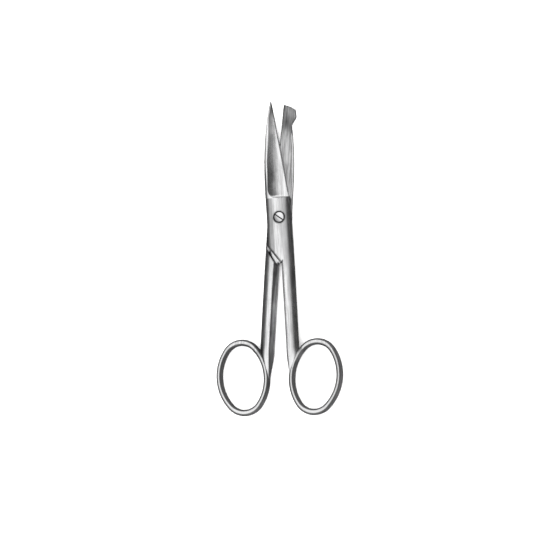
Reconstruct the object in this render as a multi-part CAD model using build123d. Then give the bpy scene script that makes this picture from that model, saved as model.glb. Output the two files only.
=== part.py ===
from build123d import *
from dataclasses import dataclass
from math import atan2, cos, degrees, hypot, pi, radians, sin, sqrt
import os

# Straight surgical scissors with one sharp and one beaked blade, lapped and held by a slotted screw.
# Millimetres. The scissors lie flat: +Z is up, +Y points to the blade tips, and the origin is on the
# pivot axis in the plane on which the scissors rest.
#
# Each half is first drawn in its own frame: closed, outer face up, ring to the right, pivot axis at
# the origin, and height 0 in the plane where the two halves slide on each other.

# Angle between the halves as the scissors lie, from closed
rest_opening_deg = 6.6

# Thickness of each half from the lap plane to its outer face, and height of its widest line
half_thickness = 2.7
lap_gap = 0.03
flank_level = 1.2

# Blades, measured from the pivot axis
heel_reach = 11.1
heel_overlap = 0.3
heel_inset = 0.06
flank_start_share = 0.04
flank_start_power = 0.7
flank_full_reach = -3.0
edge_thickness = 0.3
tip_thickness = 0.95
spine_bevel_width = 1.05
spine_round = 0.6
spine_undercut = 0.65
spine_curve_power = 2.3
taper_power = 1.6

# Ground hollow of each blade
hollow_rim_width = 1.75
hollow_depth = 0.32
hollow_tip_depth = 0.05
hollow_run_out = 2.0
hollow_run_out_radius = 1.7
hollow_end_narrowing = 2.2
hollow_lip = 0.15

# Beak of the blunt blade
beak_waist = (-2.9, 43.6)
beak_hump = (-4.5, 47.9)
beak_shoulder = (-4.1, 50.35)
beak_hump_slope = 0.3
beak_crown_rise = 0.1
beak_top_rise = 0.35
beak_rim_end = 38.5
beak_rim_run_out = (1.2, 3.5)

# Joint
corner_reach = 12.7
corner_offset = 6.9
crotch_reach = 21.3
crotch_offset = 0.74
crotch_notch = 1.0
shoulder_clearance = 0.25

# Pivot screw
screw_head_diameter = 5.3
screw_head_seat = 1.0
screw_head_dome = 0.35
screw_head_side = 0.12
screw_shank_diameter = 3.2
screw_thread_diameter = 2.8
screw_slot_width = 0.55
screw_slot_depth = 0.75
screw_slot_angle_deg = -35.0
screw_end_recess = 0.02
counterbore_clearance = 0.2
bearing_clearance = 0.04
thread_clearance = 0.02
seat_clearance = 0.03

# Shanks, with the widths of their flanks in plan
shank_inner_offset = 0.40
shank_bow = 0.15
outer_flank_width = 2.0
inner_flank_width = 1.05
lower_flank_width = 2.6
flank_nest_gap = 0.25
face_round = 1.2
lower_face_round = 0.6

# Where the shanks pass into the ring wire, measured along from the middle of the ring
thinning_above_ring = 14.6
shank_end_below_ring = 8.4
shank_end_half_width = 0.5
shank_end_half_height = 1.2
outer_run_in = 14.0
inner_run_in = 19.0

# Finger rings, measured to the middle of the wire
ring_reach = 74.6
ring_half_width = 11.25
ring_half_length = 16.25
ring_end_radius = 8.6
ring_lean_deg = 8.5
ring_wire_width = 3.0
ring_wire_depth = 4.6

# How far the cutting tools run past the metal, and past a bevel as a share of its size
overshoot = 1.0
bevel_overrun = 0.6
clear_of_all = 30.0

shank_thinning_reach = ring_reach - thinning_above_ring
shank_end_reach = ring_reach + shank_end_below_ring


@dataclass
class HalfShape:
    """What differs between the two halves: offsets from the pivot axis and reach of the tip."""

    tip: tuple
    heel_offset: float
    edge_bow: float
    spine_offset: float
    spine_offset_at_pivot: float
    spine_end_offset: float
    shank_outer_offset: float
    ring_offset: float
    beaked: bool


sharp_shape = HalfShape(
    tip=(-1.2, 54.0),
    heel_offset=4.45,
    edge_bow=0.15,
    spine_offset=6.35,
    spine_offset_at_pivot=6.2,
    spine_end_offset=1.7,
    shank_outer_offset=5.75,
    ring_offset=12.5,
    beaked=False,
)
beaked_shape = HalfShape(
    tip=(1.5, 52.4),
    heel_offset=3.0,
    edge_bow=0.05,
    spine_offset=5.1,
    spine_offset_at_pivot=5.3,
    spine_end_offset=0.9,
    shank_outer_offset=6.4,
    ring_offset=13.4,
    beaked=True,
)


def section_face(reach, corners):
    """A flat section across a half at a distance from the pivot, from its corners (offset, height)."""
    return Face(Wire.make_polygon([(x, reach, z) for x, z in corners], close=True))


def corner_arc(reach, before, corner, after, length):
    """Arc that rounds a corner of a section, starting and ending at a length from it."""
    ends = []
    for towards in (before, after):
        across = towards[0] - corner[0]
        up = towards[1] - corner[1]
        share = length / hypot(across, up)
        ends.append((corner[0] + across * share, corner[1] + up * share))
    inward = ((ends[0][0] + ends[1][0]) / 2 - corner[0], (ends[0][1] + ends[1][1]) / 2 - corner[1])
    cosine = hypot(*inward) / length
    depth = length * (1 - sqrt(1 - cosine**2)) / cosine
    middle = (corner[0] + inward[0] * depth / hypot(*inward), corner[1] + inward[1] * depth / hypot(*inward))
    return ThreePointArc(*[(x, reach, z) for x, z in (ends[0], middle, ends[1])])


def rounded_section(reach, corners, rounds):
    """A flat section whose corners (offset, height) are rounded by the lengths in rounds, 0 for none."""
    count = len(corners)
    starts = []
    edges = []
    for number, length in enumerate(rounds):
        corner = corners[number]
        if length == 0:
            starts.append(((corner[0], reach, corner[1]), (corner[0], reach, corner[1]), None))
            continue
        arc = corner_arc(reach, corners[number - 1], corner, corners[(number + 1) % count], length)
        starts.append((arc @ 0, arc @ 1, arc))
    for number in range(count):
        _, leave, arc = starts[number]
        arrive, _, _ = starts[(number + 1) % count]
        if arc is not None:
            edges.append(arc.edge())
        edges.append(Line(leave, arrive).edge())
    return Face(Wire(edges))


def blade_share(shape, reach):
    """How far along the blade a point lies: 0 at the heel, 1 at the tip."""
    return (reach - heel_reach) / (shape.tip[1] - heel_reach)


def blade_reach(shape, share):
    """Distance from the pivot of a point along the blade."""
    return heel_reach + share * (shape.tip[1] - heel_reach)


def top_height(shape, reach):
    """Height of the outer face of a blade above the lap plane."""
    share = max(0.0, blade_share(shape, reach))
    return half_thickness - (half_thickness - tip_thickness) * share**taper_power


def spine_line(shape, reach):
    """Offset of the widest line of the spine."""
    if reach >= heel_reach:
        curve = blade_share(shape, reach) ** spine_curve_power
        return -shape.spine_offset + (shape.spine_offset - shape.spine_end_offset) * curve
    if reach >= 0:
        share = reach / heel_reach
        return -shape.spine_offset_at_pivot + (shape.spine_offset_at_pivot - shape.spine_offset) * share
    share = (-reach / corner_reach) ** 2
    return -shape.spine_offset_at_pivot - (corner_offset - shape.spine_offset_at_pivot) * share


def edge_line(shape, reach):
    """Offset of the cutting edge."""
    share = blade_share(shape, reach)
    straight = shape.heel_offset + (shape.tip[0] - shape.heel_offset) * share
    return straight + shape.edge_bow * 4 * share * (1 - share)


def ring_side_radius():
    """Radius of the flat sides of the ring, tangent to its round ends."""
    end_centre = ring_half_length - ring_end_radius
    difference = ring_half_width - ring_end_radius
    return (end_centre**2 - difference**2) / (2 * difference) + ring_half_width


def ring_side(shape, reach):
    """Offset of the middle of the ring wire on the side next to the shank."""
    radius = ring_side_radius()
    lean = radians(ring_lean_deg)
    centre_offset = shape.ring_offset + (radius - ring_half_width) * cos(lean)
    centre_reach = -ring_reach - (radius - ring_half_width) * sin(lean)
    along = max(-ring_half_length, min(ring_half_length, reach - centre_reach))
    return centre_offset - sqrt(radius**2 - along**2)


def smooth_step(share):
    """Smooth passage from 0 to 1."""
    share = min(1.0, max(0.0, share))
    return share * share * (3 - 2 * share)


def diagonal_direction():
    """Unit direction of the diagonal lower edge of the joint, from the crotch to the corner."""
    across = corner_offset - crotch_offset
    along = crotch_reach - corner_reach
    return across / hypot(across, along), along / hypot(across, along)


def blade_outline(shape):
    """Plan of blade and joint. The spine side is left wide, for the spine bevels to cut."""
    across, along = diagonal_direction()
    hidden_offset = shank_inner_offset + crotch_notch
    wide_offset = corner_offset + 2 * overshoot
    wide_reach = (wide_offset - crotch_offset) / across * along - crotch_reach
    heel = (shape.heel_offset, heel_reach)
    middle_reach = blade_reach(shape, 0.5)
    edge = ThreePointArc(shape.tip, (edge_line(shape, middle_reach), middle_reach), heel)
    joint = Polyline(
        heel,
        (hidden_offset, heel_reach - heel_overlap),
        (hidden_offset, -crotch_reach + crotch_notch + hidden_offset),
        (-crotch_offset, -crotch_reach),
        (-wide_offset, wide_reach),
    )
    if not shape.beaked:
        back = Polyline(
            (-wide_offset, wide_reach),
            (-wide_offset, shape.tip[1]),
            shape.tip,
        )
        return make_face([edge, joint, back])
    rim_end = (spine_line(shape, beak_rim_end), beak_rim_end)
    back = Polyline(
        (-wide_offset, wide_reach),
        (-wide_offset, beak_rim_end - overshoot),
        rim_end,
    )
    rim_slope = (rim_end[0] - spine_line(shape, beak_rim_end - overshoot)) / overshoot
    waist = Spline(rim_end, beak_waist, beak_hump, tangents=[(rim_slope, 1), (beak_hump_slope, 1)])
    crown_middle = (
        (beak_hump[0] + beak_shoulder[0]) / 2 - beak_crown_rise,
        (beak_hump[1] + beak_shoulder[1]) / 2,
    )
    crown = ThreePointArc(beak_hump, crown_middle, beak_shoulder)
    top_middle = (
        (beak_shoulder[0] + shape.tip[0]) / 2,
        (beak_shoulder[1] + shape.tip[1]) / 2 + beak_top_rise,
    )
    top = ThreePointArc(beak_shoulder, top_middle, shape.tip)
    return make_face([edge, joint, back, waist, crown, top])


def spine_stations(shape):
    """Reach and offset of each section of a spine bevel, which leaves the metal below the beak."""
    end_reach = beak_rim_end if shape.beaked else shape.tip[1] + overshoot
    reaches = [-corner_reach - 3 * overshoot, -corner_reach / 2, 0, heel_reach]
    reaches += [heel_reach + (end_reach - heel_reach) * share for share in (0.2, 0.45, 0.7, 0.85, 1)]
    stations = [(reach, spine_line(shape, reach)) for reach in reaches]
    if shape.beaked:
        past_end = beak_rim_end + beak_rim_run_out[1]
        stations.append((past_end, spine_line(shape, past_end) - beak_rim_run_out[0]))
    return stations


def upper_spine_bevel(shape):
    """Cutter for the bevel between the widest line of the spine and the outer face, with a round."""
    rise = half_thickness - flank_level
    low = (-bevel_overrun * spine_bevel_width, flank_level - bevel_overrun * rise)
    corner = (spine_bevel_width, half_thickness)
    flat_end = (spine_bevel_width + 2 * spine_round, half_thickness)
    sections = []
    for reach, side in spine_stations(shape):
        points = [(side + x, z) for x, z in (low, corner, flat_end)]
        arc = corner_arc(reach, *points, spine_round)
        around = Polyline(
            arc @ 1,
            ((arc @ 1).X, reach, half_thickness + overshoot),
            (side - clear_of_all / 2, reach, half_thickness + overshoot),
            (side - clear_of_all / 2, reach, points[0][1]),
            (points[0][0], reach, points[0][1]),
            arc @ 0,
        )
        sections.append(Face(Wire([arc.edge(), *around.edges()])))
    return loft(sections)


def lower_spine_bevel(shape):
    """Cutter for the bevel between the widest line of the spine and the lap plane."""
    low = -bevel_overrun * flank_level
    high = (1 + bevel_overrun) * flank_level
    sections = []
    for reach, side in spine_stations(shape):
        corners = [
            (side - clear_of_all / 2, low),
            (side + (1 + bevel_overrun) * spine_undercut, low),
            (side - bevel_overrun * spine_undercut, high),
            (side - clear_of_all / 2, high),
        ]
        sections.append(section_face(reach, corners))
    return loft(sections)


def diagonal_bevel():
    """Cutter that carries the upper bevel of the spine on along the diagonal lower edge."""
    across, along = diagonal_direction()
    rise = half_thickness - flank_level
    section = Polyline(
        (-overshoot * spine_bevel_width, -overshoot * rise),
        (2 * spine_bevel_width, 2 * rise),
        (-clear_of_all / 4, 2 * rise),
        (-clear_of_all / 4, -overshoot * rise),
        (-overshoot * spine_bevel_width, -overshoot * rise),
    )
    crotch = Plane(
        origin=(-crotch_offset, -crotch_reach, flank_level),
        x_dir=(along, across, 0),
        z_dir=(across, -along, 0),
    )
    length = hypot(corner_offset - crotch_offset, crotch_reach - corner_reach)
    return extrude(crotch * make_face(section), -length - 2 * overshoot)


def hollow_cutter(shape):
    """Cutter for the hollow-ground outer face of a blade, which runs out in a round below the heel."""
    end_reach = heel_reach - hollow_run_out
    full_reach = heel_reach + 0.7 * hollow_run_out
    reaches = [end_reach, heel_reach, full_reach]
    reaches += [blade_reach(shape, share) for share in (0.2, 0.45, 0.7, 0.86)]
    reaches.append(shape.tip[1] + 2 * overshoot)
    ceiling = half_thickness + overshoot
    sections = []
    for reach in reaches:
        share = min(1.0, max(0.0, blade_share(shape, reach)))
        edge = edge_line(shape, reach)
        narrowing = max(0.0, (full_reach - reach) / (full_reach - end_reach)) ** 2
        rim = spine_line(shape, min(reach, shape.tip[1])) + hollow_rim_width * (1 - share**4)
        rim = min(rim + hollow_end_narrowing * narrowing, edge - overshoot)
        height = top_height(shape, reach)
        depth = hollow_depth + (hollow_tip_depth - hollow_depth) * share
        slope = (height - edge_thickness) / (edge - rim)
        bend = 4 * depth / (edge - rim)
        left = (rim - hollow_lip, reach, height + hollow_lip * (slope + bend))
        middle = ((rim + edge) / 2, reach, (height + edge_thickness) / 2 - depth)
        right = (edge + overshoot, reach, edge_thickness - overshoot * (slope - bend))
        around = Polyline(right, (right[0], reach, ceiling), (left[0], reach, ceiling), left)
        sections.append(Face(Wire([ThreePointArc(left, middle, right).edge(), *around.edges()])))
    cutter = loft(sections)
    end_edges = cutter.edges().filter_by_position(Axis.Y, end_reach - 0.01, end_reach + 0.01)
    lowest = end_edges.sort_by(Axis.Z)[0]
    return fillet(lowest, hollow_run_out_radius)


def shank_sides(shape, reach):
    """Inner and outer widest lines of the shank, closing into the ring wire."""
    bow = shank_bow * sin(pi * min(1.0, -reach / shank_thinning_reach))
    outer_share = smooth_step((-reach - shank_thinning_reach) / outer_run_in)
    inner_share = smooth_step((-reach - shank_end_reach) / inner_run_in + 1)
    wire = ring_side(shape, max(reach, -shank_end_reach))
    outer = (shape.shank_outer_offset + bow) * (1 - outer_share)
    outer += (wire + shank_end_half_width) * outer_share
    inner = -shank_inner_offset * (1 - inner_share) + (wire - shank_end_half_width) * inner_share
    return inner, outer


def shank_section(shape, reach, left, right, opening):
    """Section of the shank. opening is the share of its full width that the outer flank has."""
    thinning = smooth_step((-reach - shank_thinning_reach) / (shank_end_reach - shank_thinning_reach))
    top = half_thickness + (shank_end_half_height - half_thickness) * thinning
    widest = flank_level * top / half_thickness
    share = (right - left) / (shape.shank_outer_offset + shank_inner_offset)
    nest_slope = (2 * shank_inner_offset + flank_nest_gap) / (2 * flank_level) * share
    corners = [
        (left, widest),
        (left + inner_flank_width * share, top),
        (right - outer_flank_width * share * opening, top),
        (right, widest),
        (right - lower_flank_width * share * opening, -top),
        (left + nest_slope * (widest + top), -top),
    ]
    rounds = [0, 0, face_round * share * opening, 0, lower_face_round * share * opening, 0]
    return rounded_section(reach, corners, rounds)


def shank(shape):
    """Full-thickness bar that widens at the heel, runs on, and narrows into the ring wire."""
    heel_start = heel_reach + heel_overlap
    heel_steps = 5
    heel_part = []
    for step in range(heel_steps):
        share = step / heel_steps
        reach = heel_start + (flank_full_reach - heel_start) * share
        opening = max(flank_start_share, sin(pi / 2 * share) ** flank_start_power)
        right = shape.heel_offset + (shape.shank_outer_offset - shape.heel_offset) * opening
        right -= heel_inset * (1 - share)
        heel_part.append(shank_section(shape, reach, -shank_inner_offset, right, opening))
    heel_part.append(shank_section(shape, flank_full_reach, *shank_sides(shape, flank_full_reach), 1.0))
    long_part = lengthwise_sections(shape, flank_full_reach, -shank_thinning_reach, steps=4)
    ring_part = lengthwise_sections(shape, -shank_thinning_reach, -shank_end_reach, steps=7)
    return loft(heel_part) + loft(long_part) + loft(ring_part)


def lengthwise_sections(shape, first, last, steps):
    """Sections of the shank between two distances from the pivot, closest together near both."""
    shares = [(1 - cos(pi * step / steps)) / 2 for step in range(steps + 1)]
    reaches = [first + (last - first) * share for share in shares]
    return [shank_section(shape, reach, *shank_sides(shape, reach), 1.0) for reach in reaches]


def blade_profile(shape):
    """Side view of blade and joint, as a prism across the whole width."""
    tip_reach = shape.tip[1] + overshoot
    reaches = [blade_reach(shape, share) for share in (0, 0.2, 0.45, 0.7)]
    reaches.append(tip_reach)
    outer_face = [(0, reach, top_height(shape, reach)) for reach in reaches]
    taper = Spline(outer_face, tangents=[(0, 1, 0), (0, 1, -0.08)])
    around = Polyline(
        (0, tip_reach, top_height(shape, tip_reach)),
        (0, tip_reach, -half_thickness),
        (0, -clear_of_all, -half_thickness),
        (0, -clear_of_all, half_thickness),
        (0, heel_reach, half_thickness),
    )
    return extrude(make_face([taper, around]), clear_of_all, dir=(1, 0, 0), both=True)


def lap_cutter(shape):
    """What is cut from under the lap plane, from the tip down to the shoulder."""
    across, along = diagonal_direction()
    shift_x = along * shoulder_clearance
    shift_y = -across * shoulder_clearance
    past_corner = 12 * overshoot
    past_crotch = 4 * overshoot
    right = (
        corner_offset + across * past_corner + shift_x,
        -corner_reach + along * past_corner + shift_y,
    )
    left = (
        crotch_offset - across * past_crotch + shift_x,
        -crotch_reach - along * past_crotch + shift_y,
    )
    wide = clear_of_all
    top = shape.tip[1] + overshoot
    plan = Polyline(right, left, (-wide, left[1]), (-wide, top), (wide, top), (wide, right[1]), right)
    region = extrude(make_face(plan), half_thickness + overshoot, dir=(0, 0, -1))
    return Pos(0, 0, lap_gap / 2) * region


def finger_ring(shape):
    """Oval wire ring of four tangent arcs, leaning outwards at the top."""
    side_radius = ring_side_radius()
    side_centre = side_radius - ring_half_width
    end_centre = ring_half_length - ring_end_radius
    side_turn = degrees(atan2(end_centre, side_centre))
    section = Ellipse(ring_wire_width / 2, ring_wire_depth / 2)
    side = Pos(side_radius, 0, 0) * Rot(90, 0, 0) * section
    side = Rot(0, 0, -side_turn) * revolve(side, Axis.Z, 2 * side_turn)
    end = Pos(ring_end_radius, 0, 0) * Rot(90, 0, 0) * section
    end = Rot(0, 0, side_turn) * revolve(end, Axis.Z, 180 - 2 * side_turn)
    right = Pos(-side_centre, 0, 0) * side
    top = Pos(0, end_centre, 0) * end
    ring = right + top + Rot(0, 0, 180) * right + Rot(0, 0, 180) * top
    return Pos(shape.ring_offset, -ring_reach, 0) * Rot(0, 0, -ring_lean_deg) * ring


def half(shape):
    """One half in its own frame, without its screw holes."""
    head = extrude(blade_outline(shape), half_thickness + overshoot, dir=(0, 0, 1))
    head = Pos(0, 0, -lap_gap) * head
    head = head & blade_profile(shape)
    head = head - upper_spine_bevel(shape)
    head = head - lower_spine_bevel(shape)
    head = head - diagonal_bevel()
    body = head + shank(shape)
    body = body - lap_cutter(shape)
    body = body - hollow_cutter(shape)
    return body + finger_ring(shape)


def hole(diameter, from_height, to_height):
    """Round cutter on the pivot axis."""
    depth = to_height - from_height
    standing = (Align.CENTER, Align.CENTER, Align.MIN)
    return Pos(0, 0, from_height) * Cylinder(diameter / 2, depth, align=standing)


def pivot_screw():
    """Slotted screw: domed cheese head, plain bearing shank and thinner threaded end."""
    head_radius = screw_head_diameter / 2
    shank_radius = screw_shank_diameter / 2
    thread_radius = screw_thread_diameter / 2
    underside = screw_head_seat + seat_clearance
    rim_height = half_thickness - screw_head_side
    crown = half_thickness + screw_head_dome
    shank_bottom = -lap_gap / 2
    end = -half_thickness + screw_end_recess
    rise = crown - rim_height
    dome_radius = (head_radius**2 + rise**2) / (2 * rise)
    half_way_height = crown - dome_radius + sqrt(dome_radius**2 - (head_radius / 2) ** 2)
    dome = ThreePointArc((head_radius, 0, rim_height), (head_radius / 2, 0, half_way_height), (0, 0, crown))
    sides = Polyline(
        (0, 0, crown),
        (0, 0, end),
        (thread_radius, 0, end),
        (thread_radius, 0, shank_bottom),
        (shank_radius, 0, shank_bottom),
        (shank_radius, 0, underside),
        (head_radius, 0, underside),
        (head_radius, 0, rim_height),
    )
    body = revolve(make_face([dome, sides]), Axis.Z)
    slot = Box(screw_head_diameter + 2 * overshoot, screw_slot_width, 2 * screw_slot_depth)
    slot = Pos(0, 0, crown) * Rot(0, 0, screw_slot_angle_deg) * slot
    return body - slot


def place_sharp(piece):
    """From its own frame to where the sharp half lies, turned open to the left."""
    return Pos(0, 0, half_thickness) * Rot(0, 0, rest_opening_deg / 2) * piece


def place_beaked(piece):
    """From its own frame, turned over, to where the beaked half lies, turned open to the right."""
    return Pos(0, 0, half_thickness) * Rot(0, 0, -rest_opening_deg / 2) * Rot(0, 180, 0) * piece


sharp = half(sharp_shape)
sharp = sharp - hole(screw_shank_diameter + 2 * bearing_clearance, -overshoot, half_thickness)
sharp = sharp - hole(
    screw_head_diameter + 2 * counterbore_clearance, screw_head_seat, half_thickness + overshoot
)
beaked = half(beaked_shape)
beaked = beaked - hole(
    screw_thread_diameter + 2 * thread_clearance, -overshoot, half_thickness + overshoot
)

nodes = {
    "sharp_half": place_sharp(sharp),
    "beaked_half": place_beaked(beaked),
    "pivot_screw": Pos(0, 0, half_thickness) * pivot_screw(),
}

os.makedirs("parts", exist_ok=True)
for name, solid in nodes.items():
    export_step(solid, f"parts/{name}.step")
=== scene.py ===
"""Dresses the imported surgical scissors: ground steel halves, pivot screw, pale floor, light and camera."""

import math
from typing import NamedTuple

import bmesh
import bpy
from bpy.props import FloatProperty, FloatVectorProperty, PointerProperty
from bpy.types import Operator, Panel, PropertyGroup
from mathutils import Matrix, Vector


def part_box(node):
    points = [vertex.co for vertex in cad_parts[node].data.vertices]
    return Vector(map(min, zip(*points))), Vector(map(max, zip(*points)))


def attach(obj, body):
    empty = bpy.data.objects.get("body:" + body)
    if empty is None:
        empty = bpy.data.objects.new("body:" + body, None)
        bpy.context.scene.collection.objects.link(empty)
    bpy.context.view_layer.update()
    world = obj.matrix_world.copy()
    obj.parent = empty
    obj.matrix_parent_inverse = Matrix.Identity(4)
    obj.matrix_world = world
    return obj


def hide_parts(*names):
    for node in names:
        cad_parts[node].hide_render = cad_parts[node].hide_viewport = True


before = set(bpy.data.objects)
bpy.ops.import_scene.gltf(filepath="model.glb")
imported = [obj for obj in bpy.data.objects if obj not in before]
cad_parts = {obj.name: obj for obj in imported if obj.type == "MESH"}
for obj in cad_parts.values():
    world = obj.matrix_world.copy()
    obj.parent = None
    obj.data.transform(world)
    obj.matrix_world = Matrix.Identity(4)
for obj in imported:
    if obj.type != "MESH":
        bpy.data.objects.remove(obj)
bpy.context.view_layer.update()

bl_info = {
    "name": "Surgical Scissors",
    "version": (1, 0, 0),
    "blender": (4, 5, 0),
    "location": "3D View > Sidebar > Scissors",
    "description": "Finishes the steel halves and builds the pivot screw, the floor, light and camera",
    "category": "Object",
}

MM = 0.001

# Half the angle between the two halves as they lie: each half's own axis leans by this much
HALF_OPENING = math.radians(3.3)

SCREW_LOW, SCREW_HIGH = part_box("pivot_screw")
SCREW_HEAD_DIAMETER = SCREW_HIGH.x - SCREW_LOW.x
HALF_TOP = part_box("sharp_half")[1].z
LAP_PLANE = HALF_TOP / 2

WHITE = (1.0, 1.0, 1.0)
# Near-black of the painted shade on the sharp edges and on the screw's rim and slot
PAINTED_SHADE_COLOUR = (0.03, 0.03, 0.031)


# Zones of a half. Each pair says where a zone begins and where it is full


# Along the half from the pivot towards the tip, in millimetres
LINES_RUN_OUT = (-74.0, -58.0)
RING_BEGINS = (-58.0, -66.0)
RING_BESIDE_SHANK_BEGINS = (-48.0, -52.0)
BAR_LOWER_END = (-68.0, -60.0)
BAR_UPPER_END = (9.2, 8.8)
FOOT_RISES = (-22.0, -42.0)
FOOT_FADES = (-60.0, -40.0)
CROTCH_BEGINS = (-20.9, -21.3)
JOINT_BEGINS = (-22.0, -10.0)
CREST_MOVES = (-16.0, -26.0)
BLADE_BEGINS = (2.0, 14.0)
HOLLOW_BEGINS = (9.0, 10.0)
HOLLOW_SHADE_ENDS = (36.0, 20.0)
HEEL_REACH = 11.1
SHADED_EDGE_BEGINS = (11.0, 11.6)
LAP_LOWER_SHADE = (30.0, 20.0)
LAP_UPPER_SHADE = (44.0, 34.0)
BLADE_BRIGHTENS = (22.0, 36.0)
TIP_BRIGHTENS = (36.0, 46.0)
SPINE_BEVEL_ENDS = (40.0, 38.0)
TIP_BEGINS = (48.5, 52.0)

# Across the half, outwards from its own axis to the ring's side, in millimetres
RING_BESIDE_SHANK_OFFSET = (6.6, 7.2)
BAR_OUTER_END = (7.4, 7.0)
BESIDE_SPINE_OFFSET = (-2.3, -3.3)
SPINE_OFFSET = (-3.8, -5.8)
CREST_SHIFT = 1.6
GREY_BEFORE_ROLL = 3.0
GREY_PAST_ROLL = 0.6
ROLL_END_MARGIN = 0.6
SHADED_EDGE_WIDTH = (0.50, 0.25)
SCREW_EDGE_RADIUS = (3.3, 3.1)

# Upwards, in millimetres
LAP_THICKNESS = (0.12, 0.08)
SPINE_BEVEL_ABOVE_LAP = (-0.9, -0.5)
FOOT_LEVEL = (2.6, 4.2)
FOOT_EDGE = (0.5, -0.5)
RING_FOOT = (2.3, 0.9)

# Parts of the surface normal
STEEP_LATERAL = (0.24, 0.58)
STEEP_VERTICAL = (0.93, 0.76)
FACING_UP = (0.5, 0.75)
RIM_LATERAL = (0.08, 0.25)
HOLLOW_LEANING = (0.22, 0.36)
BRIGHT_LEANING = (0.10, 0.30)
FLANK_LEANING = (0.25, 0.50)

# How much each zone darkens or lightens the ground faces. The darkening is painted shade where the faces
# roll off to the flanks, beside the spine, in the hollow and along the cutting edge; the lightening is
# painted light on the faces leaning outwards; the joint and the tip are only darker in tone
ZONE_SHADES = {
    "rolled": -0.5,
    "beside_spine": -0.45,
    "at_spine": -0.75,
    "at_joint": -0.12,
    "hollow": -0.6,
    "brightened": 1.0,
    "shaded_edge_strip": -0.65,
    "at_tip": -0.25,
}
# Painted highlight on the beaked half's spine bevel, and painted light on the faces leaning outwards towards
# the tip
RIM_LIGHT = 0.6
BLADE_LIGHT = 0.55
TIP_LIGHT = 1.2
LAP_UPPER_SHARES = (1.25, 0.9)
LAP_LOWER_SHARES = (1.0, 1.15)
LINE_TONE = 0.42
DARKEST_LINE = 0.75
SMEAR_TONE = 0.04

# The shaded flanks: how much painted light brightens their feet, how much smears change them, how much less
# metallic they are, and their gloss
RING_FOOT_GAIN = 1.8
FOOT_AT_RING = 0.25
FLANK_SMEAR = 0.14
FLANK_METAL_LOSS = 0.2
FLANK_GLOSS = (0.35, 0.35, 0.352)
ROLL_CLEARS_FLANK = 0.75

# Roughness that lines, smears and flanks add, painted shade along the sharp edges of halves and screw, and
# the handling scratches
LINE_ROUGHNESS = 0.05
SMEAR_ROUGHNESS = 0.02
FLANK_ROUGHNESS = 0.15
EDGE_SHADE_SHARE = 0.6
SCREW_EDGE_SHADE_SHARE = 0.5
SCRATCH_ANGLE = math.radians(24)
SCRATCH_STRETCH = (2.6, 0.08, 2.6)
SCRATCH_DEPTH = 0.3

# The soft normal that rolls the faces of joint and shank off to the outer flank
ROLL_LEAST_TILT = math.radians(3)
ROLL_TILT = math.radians(18)


class HalfFinish(NamedTuple):
    """What differs between the halves: offsets and reaches in millimetres, tones and gains as shares. The
    spine tone, bar grey and flank gains set painted shade and painted light.
    """

    lean: float
    lap_tone: float
    spine_tone: float
    roll_start: float
    roll_end: float
    heel_offset: float
    tip_offset: float
    tip_reach: float
    bar_grey: float
    inner_flank_gain: float
    flank_foot_gain: float
    outer_flank_gain: float


HALVES = {
    "sharp_half": HalfFinish(
        lean=HALF_OPENING, lap_tone=0.45, spine_tone=1.0, roll_start=1.9, roll_end=4.8,
        heel_offset=4.45, tip_offset=-1.2, tip_reach=54.0,
        bar_grey=0.36, inner_flank_gain=5.0, flank_foot_gain=0.5, outer_flank_gain=1.8,
    ),
    "beaked_half": HalfFinish(
        lean=-HALF_OPENING, lap_tone=0.52, spine_tone=0.2, roll_start=2.6, roll_end=4.1,
        heel_offset=3.0, tip_offset=1.5, tip_reach=52.4,
        bar_grey=0.05, inner_flank_gain=0.9, flank_foot_gain=3.3, outer_flank_gain=1.1,
    ),
}

# The screw: its rim and slot carry painted shade, and its lower left side is painted darker as shade. Its
# rim is told by the surface normal, the rest by millimetres below the outer face or from the lower left
SCREW_TONES = ((0.27, 0.27, 0.273), (0.32, 0.32, 0.323))
SCREW_RIM = (0.975, 0.90)
SCREW_RIM_LEAN = 0.11
SCREW_SUNK = (0.05, 0.25)
SCREW_SHADED_SIDE = (-3.4, 1.2)
SCREW_SHADED_SIDE_TONE = 0.5
SCREW_SHADE_METAL_LOSS = 0.85
SCREW_ROUGHNESS = 0.24
SCREW_SMEAR_ROUGHNESS = 0.03
SCREW_STEPS = 96
DOME_STEPS = 8
SHARP_ANGLE = math.radians(25)
MERGE_DISTANCE = 0.0005 * MM

# Light overhead, by the angle in degrees from straight up across the scissors, negative to the left
LIGHT_STOPS = [(-90, 0.55), (-50, 0.40), (-30, 0.85), (-18, 1.0), (8, 1.0), (26, 0.08), (90, 0.08)]
LOW_BAND_HEIGHT = (0.62, 0.30)
LOW_BAND_LEVEL = 0.5
EVEN_LIGHT = (0.78, 0.78, 0.78)
FLOOR_HALF_WIDTH = 6.0
FLOOR_DROP = 0.02 * MM


# Sizes and colours that a user would change


class ScissorsSteelSettings(PropertyGroup):
    """Finish of the two steel halves."""

    steel_colour: FloatVectorProperty(
        name="Steel", description="Colour of the ground steel", subtype="COLOR", size=3,
        min=0, max=1, default=(0.29, 0.29, 0.292),
    )
    # The dark flank colour is painted shade: the narrow sides are painted darker than the faces
    shaded_flank_colour: FloatVectorProperty(
        name="Flanks", description="Colour of the narrow flanks, which the belt doesn't reach",
        subtype="COLOR", size=3, min=0, max=1, default=(0.06, 0.06, 0.0605),
    )
    roughness: FloatProperty(
        name="Roughness", description="Roughness of the ground faces", subtype="FACTOR",
        min=0, max=1, default=0.20,
    )
    line_spacing: FloatProperty(
        name="Line spacing", description="Typical distance between grinding lines", unit="LENGTH",
        default=0.8 * MM,
    )
    line_depth: FloatProperty(
        name="Line depth", description="Depth of the grinding lines", unit="LENGTH", default=0.006 * MM,
    )


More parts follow.
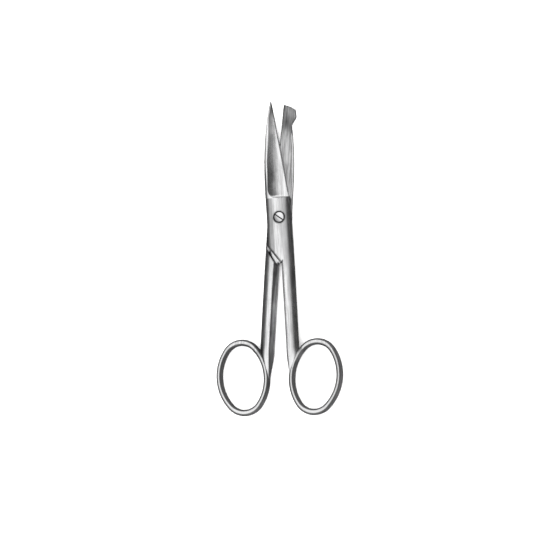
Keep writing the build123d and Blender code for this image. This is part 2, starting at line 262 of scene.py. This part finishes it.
class ScissorsScrewSettings(PropertyGroup):
    """Sizes of the pivot screw."""

    head_diameter: FloatProperty(
        name="Head", description="Diameter of the screw head", unit="LENGTH", default=SCREW_HEAD_DIAMETER,
    )
    head_seat: FloatProperty(
        name="Seat", description="Height of the head's underside above the lap plane", unit="LENGTH",
        default=1.03 * MM,
    )
    head_side: FloatProperty(
        name="Side", description="How far the head's side ends below the outer face", unit="LENGTH",
        default=0.12 * MM,
    )
    rim_round: FloatProperty(
        name="Rim round", description="Radius of the rounded rim of the head", unit="LENGTH",
        default=0.8 * MM,
    )
    shank_diameter: FloatProperty(
        name="Shank", description="Diameter of the plain bearing shank", unit="LENGTH", default=3.2 * MM,
    )
    thread_diameter: FloatProperty(
        name="Thread", description="Outside diameter of the threaded end", unit="LENGTH",
        default=2.8 * MM,
    )
    slot_width: FloatProperty(
        name="Slot width", description="Width of the screwdriver slot", unit="LENGTH", default=0.55 * MM,
    )
    slot_depth: FloatProperty(
        name="Slot depth", description="Depth of the slot below the crown", unit="LENGTH",
        default=0.75 * MM,
    )
    slot_angle: FloatProperty(
        name="Slot angle", description="Turn of the slot from the X axis", unit="ROTATION",
        default=math.radians(-35),
    )


class ScissorsStudioSettings(PropertyGroup):
    """Camera, floor and light."""

    camera_side: FloatProperty(
        name="Side angle", description="How far the camera looks from the right", unit="ROTATION",
        default=math.radians(15),
    )
    camera_lift: FloatProperty(
        name="Handle angle", description="How far the camera looks from the handle end", unit="ROTATION",
        default=math.radians(5.5),
    )
    camera_distance: FloatProperty(
        name="Distance", description="Distance of the camera", unit="LENGTH", default=2.0,
    )
    frame_width: FloatProperty(
        name="Frame width", description="Width of the view at the scissors", unit="LENGTH",
        default=253.2 * MM,
    )
    aim: FloatVectorProperty(
        name="Aim", description="Point in the middle of the view", subtype="TRANSLATION", size=3,
        default=(-2.62 * MM, -26.5 * MM, 2.7 * MM),
    )
    floor_colour: FloatVectorProperty(
        name="Floor", description="Colour of the floor", subtype="COLOR", size=3, min=0, max=1,
        default=(0.93, 0.93, 0.93),
    )
    light_strength: FloatProperty(
        name="Light", description="Strength of the soft light overhead", min=0, default=3.2,
    )


# Helpers for node trees


class Field:
    """A value that changes over a surface. Plain arithmetic on it makes Math nodes."""

    def __init__(self, tree, socket):
        self.tree = tree
        self.socket = socket

    def __add__(self, other):
        return calculate(self.tree, "ADD", self, other)

    def __sub__(self, other):
        return calculate(self.tree, "SUBTRACT", self, other)

    def __rsub__(self, other):
        return calculate(self.tree, "SUBTRACT", other, self)

    def __mul__(self, other):
        return calculate(self.tree, "MULTIPLY", self, other)

    def __rtruediv__(self, other):
        return calculate(self.tree, "DIVIDE", other, self)

    def __abs__(self):
        return calculate(self.tree, "ABSOLUTE", self)

    def at_least(self, other):
        """The larger of this and the other value."""
        return calculate(self.tree, "MAXIMUM", self, other)

    def function(self, operation):
        """SINE, COSINE, ARCSINE or SQRT of this value."""
        return calculate(self.tree, operation, self)

    def ramp(self, low, high, to_low=0.0, to_high=1.0):
        """A smooth rise from to_low at low to to_high at high."""
        node = self.tree.nodes.new("ShaderNodeMapRange")
        node.interpolation_type = "SMOOTHSTEP"
        for name, value in (
            ("Value", self), ("From Min", low), ("From Max", high), ("To Min", to_low), ("To Max", to_high),
        ):
            feed(self.tree, node.inputs[name], value)
        return Field(self.tree, node.outputs["Result"])


def feed(tree, target, value):
    """Gives a node's input a number, a colour, a socket or a field."""
    if isinstance(value, Field):
        value = value.socket
    if isinstance(value, bpy.types.NodeSocket):
        tree.links.new(value, target)
    else:
        target.default_value = value


def calculate(tree, operation, *values):
    """The result of a Math node."""
    node = tree.nodes.new("ShaderNodeMath")
    node.operation = operation
    for target, value in zip(node.inputs, values):
        feed(tree, target, value)
    return Field(tree, node.outputs[0])


def add_node(tree, kind, **values):
    """A new node with named properties or inputs set, where an underscore stands for a space."""
    node = tree.nodes.new(kind)
    for name, value in values.items():
        if name in node.bl_rna.properties:
            setattr(node, name, value)
        else:
            feed(tree, node.inputs[name.replace("_", " ")], value)
    return node


def split(tree, vector):
    """The three parts of a vector."""
    parts = add_node(tree, "ShaderNodeSeparateXYZ", Vector=vector)
    return [Field(tree, part) for part in parts.outputs]


def join(tree, x, y, z):
    """A vector from its three parts."""
    return add_node(tree, "ShaderNodeCombineXYZ", X=x, Y=y, Z=z).outputs[0]


def scaled(tree, colour, factor):
    """A colour times a factor."""
    node = add_node(tree, "ShaderNodeVectorMath", operation="SCALE", Scale=factor)
    feed(tree, node.inputs[0], colour)
    return node.outputs[0]


def mix_colours(tree, factor, first, second, blend_type="MIX"):
    """A mix of two colours, which are sockets, fields or plain colours."""
    node = tree.nodes.new("ShaderNodeMix")
    node.data_type = "RGBA"
    node.blend_type = blend_type
    feed(tree, node.inputs[0], factor)
    for target, colour in ((node.inputs[6], first), (node.inputs[7], second)):
        feed(tree, target, (*colour, 1.0) if isinstance(colour, tuple) else colour)
    return node.outputs[2]


def new_material(name):
    """A material with its node tree and its Principled BSDF."""
    material = bpy.data.materials.new(name)
    material.use_nodes = True
    tree = material.node_tree
    return material, tree, tree.nodes["Principled BSDF"]


def new_group(name, inputs, outputs):
    """An empty shader node group, its given values and its results. inputs are (name, kind, default)."""
    group = bpy.data.node_groups.new(name, "ShaderNodeTree")
    for socket_name, kind, default in inputs:
        socket = group.interface.new_socket(socket_name, in_out="INPUT", socket_type=kind)
        if default is not None:
            socket.default_value = default
    for socket_name in outputs:
        group.interface.new_socket(socket_name, in_out="OUTPUT", socket_type="NodeSocketFloat")
    return group, group.nodes.new("NodeGroupInput").outputs, group.nodes.new("NodeGroupOutput").inputs


def place_group(tree, name, **values):
    """Places a node group in a material and returns its results by name."""
    node = tree.nodes.new("ShaderNodeGroup")
    node.node_tree = bpy.data.node_groups[name]
    for socket_name, value in values.items():
        feed(tree, node.inputs[socket_name], value)
    return {socket.name: Field(tree, socket) for socket in node.outputs}


# Effects that several steels share


def build_grinding_lines():
    """Fine lines along Y, in millimetres: a height for bump and a tone for colour."""
    group, given, result = new_group(
        "grinding_lines",
        [
            ("Vector", "NodeSocketVector", None),
            ("Spacing", "NodeSocketFloat", 0.35),
            ("Length", "NodeSocketFloat", 12.0),
        ],
        ["Height", "Tone"],
    )
    across = 1.0 / Field(group, given["Spacing"])
    along = 1.0 / Field(group, given["Length"])
    stretched = add_node(group, "ShaderNodeVectorMath", operation="MULTIPLY")
    feed(group, stretched.inputs[0], given["Vector"])
    feed(group, stretched.inputs[1], join(group, across, along, across))
    place = stretched.outputs[0]
    fine = add_node(group, "ShaderNodeTexNoise", Vector=place, Scale=1.0, Detail=4.0, Roughness=0.65)
    coarse = add_node(group, "ShaderNodeTexNoise", Vector=place, Scale=0.22, Detail=2.0)
    fine, coarse = Field(group, fine.outputs["Fac"]), Field(group, coarse.outputs["Fac"])
    feed(group, result["Height"], fine + coarse * 0.6)
    feed(group, result["Tone"], fine.ramp(0.30, 0.70))


def build_edge_shade():
    """A mask that is 1 on the fine chamfers along the sharp edges, broken up a little."""
    group, given, result = new_group(
        "edge_shade",
        [
            ("Vector", "NodeSocketVector", None),
            ("Radius", "NodeSocketFloat", 0.9 * MM),
        ],
        ["Mask"],
    )
    rounded = add_node(group, "ShaderNodeBevel", samples=6, Radius=given["Radius"])
    face = group.nodes.new("ShaderNodeNewGeometry")
    meeting = add_node(group, "ShaderNodeVectorMath", operation="DOT_PRODUCT")
    feed(group, meeting.inputs[0], rounded.outputs[0])
    feed(group, meeting.inputs[1], face.outputs["Normal"])
    edge = Field(group, meeting.outputs["Value"]).ramp(0.999, 0.96)
    noise = add_node(group, "ShaderNodeTexNoise", Vector=given["Vector"], Scale=1.4, Detail=3.0)
    broken = Field(group, noise.outputs["Fac"]).ramp(0.25, 0.6, 0.55, 1.0)
    feed(group, result["Mask"], edge * broken)


def build_handling_marks():
    """Faint cloudy smears around 0, and sparse hairline scratches."""
    group, given, result = new_group(
        "handling_marks", [("Vector", "NodeSocketVector", None)], ["Smear", "Scratch"],
    )
    cloud = add_node(
        group, "ShaderNodeTexNoise", Vector=given["Vector"], Scale=0.16, Detail=5.0, Distortion=0.6,
    )
    feed(group, result["Smear"], Field(group, cloud.outputs["Fac"]).ramp(0.3, 0.7, -1.0, 1.0))
    turned = add_node(
        group, "ShaderNodeMapping", Vector=given["Vector"],
        Rotation=(0, 0, SCRATCH_ANGLE), Scale=SCRATCH_STRETCH,
    )
    lines = add_node(group, "ShaderNodeTexNoise", Vector=turned.outputs[0], Scale=1.0, Detail=2.0)
    feed(group, result["Scratch"], Field(group, lines.outputs["Fac"]).ramp(0.68, 0.72))


# The steel of the halves


class HalfPlace:
    """Where a point lies in a half's own frame, in millimetres, and which way its surface faces."""

    def __init__(self, tree, lean):
        side = math.copysign(1.0, lean)
        place = tree.nodes.new("ShaderNodeTexCoord")
        own = add_node(
            tree, "ShaderNodeMapping", Vector=place.outputs["Object"],
            Rotation=(0, 0, -lean), Scale=(1 / MM, 1 / MM, 1 / MM),
        )
        self.vector = own.outputs[0]
        self.x, self.y, self.z = split(tree, self.vector)
        facing_x, _, self.upwards = split(tree, place.outputs["Normal"])
        self.outwards = self.x * side
        self.leaning = facing_x * side
        self.lateral = abs(facing_x)
        self.vertical = abs(self.upwards)


def half_zones(at, finish):
    """Masks of a half's zones by name."""
    y, outwards = at.y, at.outwards
    above_lap = at.z - LAP_PLANE / MM
    on_lap = abs(above_lap).ramp(*LAP_THICKNESS)
    beside_shank = outwards.ramp(*RING_BESIDE_SHANK_OFFSET) * y.ramp(*RING_BESIDE_SHANK_BEGINS)
    bar = y.ramp(*BAR_UPPER_END) * y.ramp(*BAR_LOWER_END) * outwards.ramp(*BAR_OUTER_END)
    rolled = outwards.ramp(finish.roll_start, finish.roll_end) * bar
    inside_roll = outwards.ramp(finish.roll_end + ROLL_END_MARGIN, finish.roll_end)
    from_crest = outwards - y.ramp(*CREST_MOVES, 0.0, CREST_SHIFT)
    grey_begins, grey_full = finish.roll_start - GREY_BEFORE_ROLL, finish.roll_start + GREY_PAST_ROLL
    blade = y.ramp(*BLADE_BEGINS)
    spine_bevel = blade * y.ramp(*SPINE_BEVEL_ENDS) * above_lap.ramp(*SPINE_BEVEL_ABOVE_LAP)
    towards_tip = y.ramp(*BLADE_BRIGHTENS, 0.0, BLADE_LIGHT) + y.ramp(*TIP_BRIGHTENS, 0.0, TIP_LIGHT)

    # The cutting edge runs straight from the heel to the tip
    along = (y - HEEL_REACH) * (1 / (finish.tip_reach - HEEL_REACH))
    edge_offset = along * (finish.tip_offset - finish.heel_offset) + finish.heel_offset

    return {
        "ground": y.ramp(*LINES_RUN_OUT),
        "in_ring": y.ramp(*RING_BEGINS).at_least(beside_shank),
        "at_screw": (at.x * at.x + y * y).function("SQRT").ramp(*SCREW_EDGE_RADIUS),
        "on_bar": bar,
        "at_joint": bar * y.ramp(*JOINT_BEGINS),
        "rolled": rolled,
        "soft": at.upwards.ramp(*FACING_UP) * inside_roll * rolled,
        "greyed": from_crest.ramp(grey_begins, grey_full) * bar,
        "beside_spine": outwards.ramp(*BESIDE_SPINE_OFFSET) * bar,
        "at_spine": outwards.ramp(*SPINE_OFFSET) * bar,
        "dull": on_lap * blade,
        "in_crotch": on_lap * y.ramp(*CROTCH_BEGINS),
        "spine_bevel": spine_bevel,
        "rim_light": spine_bevel * at.lateral.ramp(*RIM_LATERAL),
        "hollow": at.leaning.ramp(*HOLLOW_LEANING) * y.ramp(*HOLLOW_BEGINS) * y.ramp(*HOLLOW_SHADE_ENDS),
        "brightened": at.leaning.ramp(*BRIGHT_LEANING) * towards_tip,
        # Painted shade along the cutting edge
        "shaded_edge_strip": abs(outwards - edge_offset).ramp(*SHADED_EDGE_WIDTH) * y.ramp(*SHADED_EDGE_BEGINS),
        "at_tip": y.ramp(*TIP_BEGINS),
    }


def steep_mask(at, zones, finish):
    """1 on the flanks of blade and shank, on the sides of the rings and round the screw, which get the
    painted shade of the flank colour.
    """
    upright = at.vertical.ramp(*STEEP_VERTICAL) * zones["in_ring"].at_least(zones["at_screw"])
    steep = at.lateral.ramp(*STEEP_LATERAL).at_least(upright)
    steep = steep * (zones["spine_bevel"] * (finish.spine_tone - 1.0) + 1.0)
    steep = steep * (1.0 - zones["soft"] * ROLL_CLEARS_FLANK)
    # Painted shade: the lap face in the crotch gets the dark flank colour
    return steep.at_least(zones["in_crotch"])


def soft_normal(tree, zones, lean):
    """The surface normal, rolled off softly towards the outer flank on the faces of joint and shank."""
    tilt = zones["rolled"] * ROLL_TILT + ROLL_LEAST_TILT
    sideways = tilt.function("SINE") * math.copysign(1.0, lean)
    soft = join(tree, sideways * math.cos(lean), sideways * math.sin(lean), tilt.function("COSINE"))
    soft_here = add_node(
        tree, "ShaderNodeVectorTransform", Vector=soft,
        vector_type="NORMAL", convert_from="OBJECT", convert_to="WORLD",
    )
    surface = tree.nodes.new("ShaderNodeNewGeometry")
    mixed = tree.nodes.new("ShaderNodeMix")
    mixed.data_type = "VECTOR"
    feed(tree, mixed.inputs[0], zones["soft"])
    feed(tree, mixed.inputs[4], surface.outputs["Normal"])
    feed(tree, mixed.inputs[5], soft_here.outputs[0])
    normal = add_node(tree, "ShaderNodeVectorMath", operation="NORMALIZE")
    feed(tree, normal.inputs[0], mixed.outputs[1])
    return normal.outputs[0]


def ground_tone(at, zones, finish, lines, marks):
    """Brightness of the ground faces: grinding lines, smears, the duller lap face and each zone's painted
    shade and light.
    """
    tone = marks["Smear"] * SMEAR_TONE + (lines["Tone"] * LINE_TONE + DARKEST_LINE)
    darkening = at.y.ramp(*LAP_UPPER_SHADE, *LAP_UPPER_SHARES) * finish.lap_tone
    darkening = darkening * at.y.ramp(*LAP_LOWER_SHADE, *LAP_LOWER_SHARES)
    tone = tone - zones["dull"] * darkening
    # Painted shade on the bar beyond its crest, and a painted highlight on the beaked half's spine bevel
    own_shades = {"greyed": -finish.bar_grey, "rim_light": RIM_LIGHT * (1.0 - finish.spine_tone)}
    for name, change in (ZONE_SHADES | own_shades).items():
        tone = tone * (zones[name] * change + 1.0)
    return tone


def flank_gain(at, zones, finish, marks):
    """Painted light on the shaded flanks: how much brighter the shank's flanks and the foot of the rings are
    than the sides of the rings.
    """
    above_foot = at.z - at.y.ramp(*FOOT_RISES, *FOOT_LEVEL)
    foot = above_foot.ramp(*FOOT_EDGE) * at.y.ramp(*FOOT_FADES, FOOT_AT_RING, 1.0)
    begins, full = FLANK_LEANING
    gain = at.leaning.ramp(-begins, -full) * (foot * finish.flank_foot_gain + finish.inner_flank_gain)
    gain = at.leaning.ramp(begins, full) * finish.outer_flank_gain + gain
    gain = gain * (1.0 - zones["in_crotch"]) * zones["on_bar"] + 1.0
    gain = at.z.ramp(*RING_FOOT) * zones["in_ring"] * RING_FOOT_GAIN + gain
    return gain * (marks["Smear"] * FLANK_SMEAR + 1.0)


def steel_material(name, finish):
    """Ground steel of one half, with its lines along the half's own axis and painted shade and light on its
    flanks and faces.
    """
    settings = bpy.context.scene.scissors_steel
    material, tree, shader = new_material(name)
    at = HalfPlace(tree, finish.lean)
    lines = place_group(tree, "grinding_lines", Vector=at.vector, Spacing=settings.line_spacing / MM)
    edges = place_group(tree, "edge_shade", Vector=at.vector)
    marks = place_group(tree, "handling_marks", Vector=at.vector)
    zones = half_zones(at, finish)
    steep = steep_mask(at, zones, finish)

    tone = ground_tone(at, zones, finish, lines, marks)
    # Painted shade on the flanks, brightened in places by painted light
    flanks = scaled(tree, tuple(settings.shaded_flank_colour), flank_gain(at, zones, finish, marks))
    base = mix_colours(tree, steep, tuple(settings.steel_colour), flanks)
    toned = mix_colours(tree, 1.0, base, join(tree, tone, tone, tone), "MULTIPLY")
    base = mix_colours(tree, zones["ground"], base, toned)
    # Painted shade along the fine chamfers of the sharp edges
    base = mix_colours(tree, edges["Mask"] * EDGE_SHADE_SHARE, base, PAINTED_SHADE_COLOUR)
    feed(tree, shader.inputs["Base Color"], base)
    feed(tree, shader.inputs["Metallic"], steep * -FLANK_METAL_LOSS + 1.0)
    feed(tree, shader.inputs["Specular Tint"], mix_colours(tree, steep, WHITE, FLANK_GLOSS))
    shader.inputs["Specular IOR Level"].default_value = 0.0
    rough = lines["Tone"] * LINE_ROUGHNESS + settings.roughness
    rough = rough + marks["Smear"] * SMEAR_ROUGHNESS + steep * FLANK_ROUGHNESS
    feed(tree, shader.inputs["Roughness"], rough)

    height = marks["Scratch"] * -SCRATCH_DEPTH + lines["Height"] * zones["ground"]
    bump = add_node(
        tree, "ShaderNodeBump", Strength=1.0, Distance=MM,
        Height=height * (settings.line_depth / MM), Normal=soft_normal(tree, zones, finish.lean),
    )
    feed(tree, shader.inputs["Normal"], bump.outputs[0])
    return material


def screw_material():
    """Turned steel of the pivot screw, with rings round its axis and painted shade on its rim, in its slot
    and on its lower left side.
    """
    material, tree, shader = new_material("turned_screw_steel")
    place = tree.nodes.new("ShaderNodeTexCoord")
    own = add_node(
        tree, "ShaderNodeMapping", Vector=place.outputs["Object"], Scale=(1 / MM, 1 / MM, 1 / MM),
    ).outputs[0]
    rings = add_node(
        tree, "ShaderNodeTexWave", wave_type="RINGS", rings_direction="Z",
        Vector=own, Scale=2.6, Distortion=0.8,
    ).outputs["Fac"]
    edges = place_group(tree, "edge_shade", Vector=own, Radius=0.2 * MM)
    marks = place_group(tree, "handling_marks", Vector=own)
    x, y, z = split(tree, own)
    facing_x, facing_y, upwards = split(tree, place.outputs["Normal"])

    # Painted shade on the rim, reaching further in on the lower left, and on everything sunk below the outer
    # face
    rim = ((facing_x + facing_y) * SCREW_RIM_LEAN + upwards).ramp(*SCREW_RIM)
    sunk = z.ramp(*(HALF_TOP / MM - depth for depth in SCREW_SUNK))
    rim_and_slot_shade = rim.at_least(sunk)
    tone = mix_colours(tree, rings, *SCREW_TONES)
    tone = mix_colours(tree, edges["Mask"] * SCREW_EDGE_SHADE_SHARE, tone, PAINTED_SHADE_COLOUR)
    # Painted shade: the lower left side of the head is darker
    shaded_side_tone = scaled(tree, tone, (x + y).ramp(*SCREW_SHADED_SIDE, SCREW_SHADED_SIDE_TONE, 1.0))
    feed(tree, shader.inputs["Base Color"], mix_colours(tree, rim_and_slot_shade, shaded_side_tone, PAINTED_SHADE_COLOUR))
    feed(tree, shader.inputs["Metallic"], rim_and_slot_shade * -SCREW_SHADE_METAL_LOSS + 1.0)
    shader.inputs["Specular IOR Level"].default_value = 0.0
    rough = marks["Smear"] * SCREW_SMEAR_ROUGHNESS + SCREW_ROUGHNESS
    feed(tree, shader.inputs["Roughness"], rough)
    bump = add_node(tree, "ShaderNodeBump", Strength=0.6, Distance=0.004 * MM, Height=rings)
    feed(tree, shader.inputs["Normal"], bump.outputs[0])
    return material


# Mesh helpers


def finish_piece(name, bm, material, body, replaced):
    """Makes the bmesh an object that rides on a CAD body and replaces CAD nodes."""
    bmesh.ops.recalc_face_normals(bm, faces=bm.faces)
    piece = link_object(name, bm, material)
    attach(piece, body)
    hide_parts(*replaced)
    return piece


def link_object(name, bm, material):
    """An object in the scene from a bmesh, which is used up."""
    mesh = bpy.data.meshes.new(name)
    bm.to_mesh(mesh)
    bm.free()
    mesh.materials.append(material)
    piece = bpy.data.objects.new(name, mesh)
    bpy.context.collection.objects.link(piece)
    return piece


def spin_profile(bm, points, steps):
    """Turns a profile of (radius, height) once about Z."""
    corners = [bm.verts.new((radius, 0, height)) for radius, height in points]
    edges = [bm.edges.new(pair) for pair in zip(corners, corners[1:])]
    bmesh.ops.spin(
        bm, geom=corners + edges, cent=(0, 0, 0), axis=(0, 0, 1),
        angle=math.tau, steps=steps, use_merge=True,
    )
    bmesh.ops.remove_doubles(bm, verts=bm.verts, dist=MERGE_DISTANCE)


# Operators


class SCISSORS_OT_finish_halves(Operator):
    """Give the two CAD halves their ground steel"""

    bl_idname = "scissors.finish_halves"
    bl_label = "Finish Halves"

    def execute(self, context):
        build_grinding_lines()
        build_edge_shade()
        build_handling_marks()
        for node_name, finish in HALVES.items():
            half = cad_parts[node_name]
            half.data.materials.clear()
            half.data.materials.append(steel_material(f"{node_name}_steel", finish))
        return {"FINISHED"}


class SCISSORS_OT_build_pivot_screw(Operator):
    """Build the slotted pivot screw from its turned profile"""

    bl_idname = "scissors.build_pivot_screw"
    bl_label = "Build Pivot Screw"

    def execute(self, context):
        settings = context.scene.scissors_screw
        bm = bmesh.new()
        spin_profile(bm, self.profile(settings), SCREW_STEPS)
        self.cut_slot(bm, settings)
        screw = finish_piece(
            "pivot_screw_turned", bm, screw_material(), "beaked_side", ["pivot_screw"],
        )
        for polygon in screw.data.polygons:
            polygon.use_smooth = True
        screw.data.set_sharp_from_angle(angle=SHARP_ANGLE)
        return {"FINISHED"}

    def profile(self, settings):
        """Radius and height, from the crown over the rounded rim down to the foot of the threaded end."""
        head_radius = settings.head_diameter / 2
        shank_radius = settings.shank_diameter / 2
        thread_radius = settings.thread_diameter / 2
        crown = SCREW_HIGH.z
        underside = LAP_PLANE + settings.head_seat
        rise = crown - (HALF_TOP - settings.head_side)
        dome_radius = (head_radius**2 + rise**2) / (2 * rise)
        points = []
        for step in range(DOME_STEPS + 1):
            radius = (head_radius - settings.rim_round) * step / DOME_STEPS
            drop = dome_radius - math.sqrt(dome_radius**2 - radius**2)
            points.append((radius, crown - drop))
        shoulder = points[-1][1]
        for step in range(1, DOME_STEPS + 1):
            turn = math.pi / 2 * step / DOME_STEPS
            points.append((
                head_radius - settings.rim_round * (1 - math.sin(turn)),
                shoulder - settings.rim_round * (1 - math.cos(turn)),
            ))
        return points + [
            (head_radius, underside),
            (shank_radius, underside),
            (shank_radius, LAP_PLANE),
            (thread_radius, LAP_PLANE),
            (thread_radius, SCREW_LOW.z),
            (0, SCREW_LOW.z),
        ]

    def cut_slot(self, bm, settings):
        """Cuts the screwdriver slot: its walls and floor close the gap that is left in the head."""
        half_width = settings.slot_width / 2
        floor = SCREW_HIGH.z - settings.slot_depth
        side = Matrix.Rotation(settings.slot_angle, 4, "Z") @ Vector((0, 1, 0))
        on_plane = 4 * MERGE_DISTANCE
        cuts = [(side * sign * half_width, side) for sign in (1, -1)]
        cuts.append((Vector((0, 0, floor)), Vector((0, 0, 1))))
        for point, normal in cuts:
            bmesh.ops.bisect_plane(
                bm, geom=bm.verts[:] + bm.edges[:] + bm.faces[:], dist=MERGE_DISTANCE,
                plane_co=point, plane_no=normal,
            )
        between = [
            face for face in bm.faces
            if abs(face.calc_center_median().dot(side)) < half_width and face.calc_center_median().z > floor
        ]
        bmesh.ops.delete(bm, geom=between, context="FACES")
        rim = [edge for edge in bm.edges if edge.is_boundary]
        floor_ends = []
        for sign in (1, -1):
            wall = [
                edge for edge in rim
                if all(abs(v.co.dot(side) - sign * half_width) < on_plane for v in edge.verts)
            ]
            low = {v for edge in wall for v in edge.verts if abs(v.co.z - floor) < on_plane}
            base = bm.edges.new(sorted(low, key=lambda v: v.co.x))
            floor_ends.append(base)
            bmesh.ops.contextual_create(bm, geom=wall + [base])
        arcs = [edge for edge in rim if all(abs(v.co.z - floor) < on_plane for v in edge.verts)]
        bmesh.ops.contextual_create(bm, geom=arcs + floor_ends)


class SCISSORS_OT_set_stage(Operator):
    """Lay the pale floor, set the soft light and place the camera"""

    bl_idname = "scissors.set_stage"
    bl_label = "Set Stage"

    def execute(self, context):
        settings = context.scene.scissors_studio
        self.lay_floor(settings)
        self.set_light(context, settings)
        self.place_camera(context, settings)
        return {"FINISHED"}

    def lay_floor(self, settings):
        """A large pale sheet under the scissors."""
        bm = bmesh.new()
        bmesh.ops.create_grid(bm, x_segments=1, y_segments=1, size=FLOOR_HALF_WIDTH)
        bmesh.ops.translate(bm, verts=bm.verts, vec=(0, 0, -FLOOR_DROP))
        material, tree, shader = new_material("pale_floor")
        place = tree.nodes.new("ShaderNodeTexCoord")
        fibre = add_node(
            tree, "ShaderNodeTexNoise", Vector=place.outputs["Object"], Scale=900.0, Detail=3.0,
        )
        pale = tuple(settings.floor_colour)
        paler = tuple(min(1.0, channel + 0.02) for channel in pale)
        feed(tree, shader.inputs["Base Color"], mix_colours(tree, fibre.outputs["Fac"], pale, paler))
        shader.inputs["Roughness"].default_value = 0.9
        shader.inputs["Specular IOR Level"].default_value = 0.0
        floor = link_object("floor", bm, material)

    def set_light(self, context, settings):
        """A long soft light overhead that falls off to both sides, darker to the right."""
        world = bpy.data.worlds.new("soft_studio")
        context.scene.world = world
        world.use_nodes = True
        tree = world.node_tree
        background = tree.nodes["Background"]
        direction = tree.nodes.new("ShaderNodeTexCoord")
        across, _, height = split(tree, direction.outputs["Generated"])
        ramp = tree.nodes.new("ShaderNodeValToRGB")
        ramp.color_ramp.interpolation = "EASE"
        elements = ramp.color_ramp.elements
        while len(elements) > 1:
            elements.remove(elements[-1])
        for number, (angle, level) in enumerate(LIGHT_STOPS):
            position = angle / 180 + 0.5
            element = elements[0] if number == 0 else elements.new(position)
            element.position = position
            element.color = (level, level, level, 1.0)
        feed(tree, ramp.inputs[0], across.function("ARCSINE") * (1 / math.pi) + 0.5)
        # A band of light low all round gives the sides something to mirror
        low = height.ramp(*LOW_BAND_HEIGHT, 0.0, LOW_BAND_LEVEL)
        strip = mix_colours(tree, 1.0, ramp.outputs[0], low, "LIGHTEN")
        # The matt surfaces are lit evenly from all sides, so the floor stays free of shadows
        rays = tree.nodes.new("ShaderNodeLightPath")
        light = mix_colours(tree, rays.outputs["Is Diffuse Ray"], strip, EVEN_LIGHT)
        feed(tree, background.inputs["Color"], light)
        background.inputs["Strength"].default_value = settings.light_strength
        context.scene.view_settings.view_transform = "Standard"

    def place_camera(self, context, settings):
        """Looks almost straight down, a little from the right and the handle end, through a long lens."""
        side, lift = settings.camera_side, settings.camera_lift
        right = Vector((math.cos(side), 0, -math.sin(side)))
        back = Vector((math.sin(side) * math.cos(lift), -math.sin(lift), math.cos(side) * math.cos(lift)))
        up = back.cross(right)
        data = bpy.data.cameras.new("view_camera")
        data.sensor_width = 36.0
        data.lens = data.sensor_width * settings.camera_distance / settings.frame_width
        data.clip_start, data.clip_end = 0.05, 50.0
        camera = bpy.data.objects.new("view_camera", data)
        context.collection.objects.link(camera)
        turn = Matrix((right, up, back)).transposed().to_4x4()
        place = Vector(settings.aim) + back * settings.camera_distance
        camera.matrix_world = Matrix.Translation(place) @ turn
        context.scene.camera = camera


class SCISSORS_PT_sidebar(Panel):
    """Lists the steps that dress the scissors"""

    bl_label = "Surgical Scissors"
    bl_idname = "SCISSORS_PT_sidebar"
    bl_space_type = "VIEW_3D"
    bl_region_type = "UI"
    bl_category = "Scissors"

    def draw(self, context):
        layout = self.layout
        for step, settings_name in STEPS:
            layout.operator(step.bl_idname)
            settings = getattr(context.scene, settings_name)
            for name in settings.__annotations__:
                layout.prop(settings, name)


STEPS = [
    (SCISSORS_OT_finish_halves, "scissors_steel"),
    (SCISSORS_OT_build_pivot_screw, "scissors_screw"),
    (SCISSORS_OT_set_stage, "scissors_studio"),
]
SETTINGS = {
    "scissors_steel": ScissorsSteelSettings,
    "scissors_screw": ScissorsScrewSettings,
    "scissors_studio": ScissorsStudioSettings,
}
CLASSES = [*SETTINGS.values(), *(step for step, _ in STEPS), SCISSORS_PT_sidebar]


def register():
    for part in CLASSES:
        bpy.utils.register_class(part)
    for name, group in SETTINGS.items():
        setattr(bpy.types.Scene, name, PointerProperty(type=group))


def unregister():
    for name in SETTINGS:
        delattr(bpy.types.Scene, name)
    for part in reversed(CLASSES):
        bpy.utils.unregister_class(part)


def main():
    register()
    bpy.ops.scissors.finish_halves()
    bpy.ops.scissors.build_pivot_screw()
    bpy.ops.scissors.set_stage()


if __name__ == "__main__":
    main()
